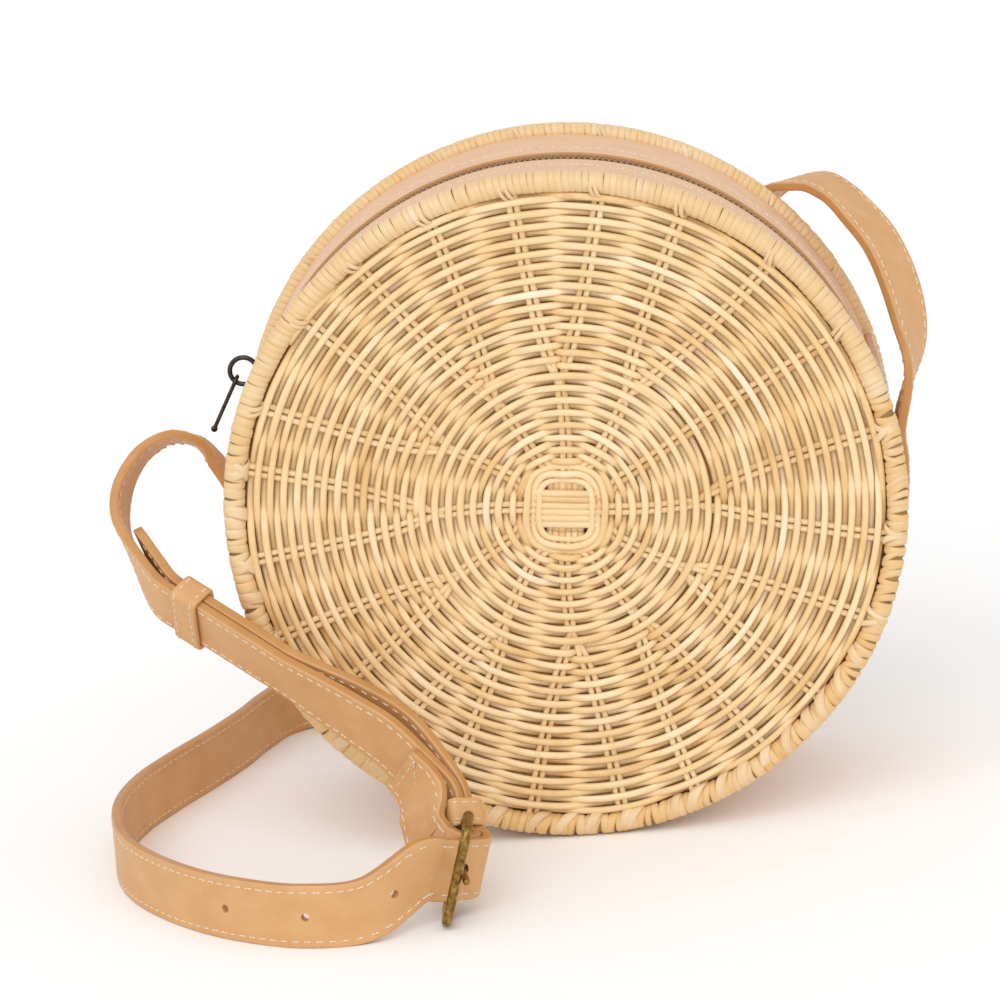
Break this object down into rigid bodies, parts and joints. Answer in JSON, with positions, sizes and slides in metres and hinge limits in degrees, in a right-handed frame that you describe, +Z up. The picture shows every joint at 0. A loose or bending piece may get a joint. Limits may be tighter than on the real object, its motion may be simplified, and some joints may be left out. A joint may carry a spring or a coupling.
{
  "type": "circle bag",
  "caption": "Round wicker bag with two woven discs in wrapped hoops, a leather side with a zip over the top, and a long buckled leather strap.",
  "frame": {"origin": "on the floor under the middle of the bag, midway between the front and back rims", "axes": "+Z up; +X to the right seen from the front, the length with the strap; the front disc faces -Y"},
  "size_m": [0.272, 0.2444, 0.2168],
  "materials": {
    "stake_reed": "natural rattan reed, unvarnished",
    "weaver_reed": "natural rattan reed, unvarnished",
    "centre_reed": "natural rattan reed, unvarnished",
    "hoop_cane": "bare rattan cane",
    "wound_cane": "flat rattan cane, smooth",
    "lashing_cane": "flat rattan cane, smooth",
    "lining": "woven brown lining",
    "side_leather": "smooth tan leather",
    "strip_leather": "smooth tan leather",
    "zip_tape": "woven zip tape",
    "zip_teeth": "moulded nylon coil",
    "dark_metal": "dark gunmetal, worn",
    "strap_leather": "tan leather, stitched near both edges",
    "keeper_leather": "tan leather, stitched near both edges",
    "aged_brass": "antique brass, brushed and darkened"
  },
  "bodies": {
    "bag": {"front_stakes": "stake_reed", "front_weavers": "weaver_reed", "front_centre": "centre_reed", "front_hoop": "hoop_cane", "front_wrap": "wound_cane", "front_lashings": "lashing_cane", "front_lining": "lining", "back_stakes": "stake_reed", "back_weavers": "weaver_reed", "back_centre": "centre_reed", "back_hoop": "hoop_cane", "back_wrap": "wound_cane", "back_lashings": "lashing_cane", "back_lining": "lining", "side_band": "side_leather", "zip_strip_front": "strip_leather", "zip_strip_rear": "strip_leather", "zip_tape_front": "zip_tape", "zip_tape_rear": "zip_tape", "zip_teeth_front": "zip_teeth", "zip_teeth_rear": "zip_teeth", "main_strap": "strap_leather", "billet_strap": "strap_leather", "fixed_keeper": "keeper_leather"},
    "slider": {"zip_slider": "dark_metal"},
    "pull": {"pull": "dark_metal"},
    "loose_keeper": {"sliding_keeper": "keeper_leather"},
    "buckle": {"buckle_frame": "aged_brass"},
    "prong": {"prong": "aged_brass"}
  },
  "joints": [
    {"name": "zip_run", "type": "hinge", "parent": "bag", "child": "slider", "pos_m": [0, 0, 0.108], "axis": [0, 1, 0], "range_deg": [0, 126]},
    {"name": "pull_swing", "type": "hinge", "parent": "slider", "child": "pull", "pos_m": [-0.10185, 0, 0.14956], "axis": [0, 1, 0], "range_deg": [0, 140]},
    {"name": "keeper_slide", "type": "slide", "parent": "bag", "child": "loose_keeper", "axis": [0.7639, -0.4997, -0.4083], "range_m": [0, 0.034]},
    {"name": "buckle_rock", "type": "hinge", "parent": "bag", "child": "buckle", "pos_m": [-0.0386, -0.1134, 0.01681], "axis": [0.2807, 0, 0.9598], "range_deg": [-3, 3]},
    {"name": "prong_lift", "type": "hinge", "parent": "buckle", "child": "prong", "pos_m": [-0.0386, -0.1134, 0.01681], "axis": [0.2807, 0, 0.9598], "range_deg": [0, 3]}
  ]
}
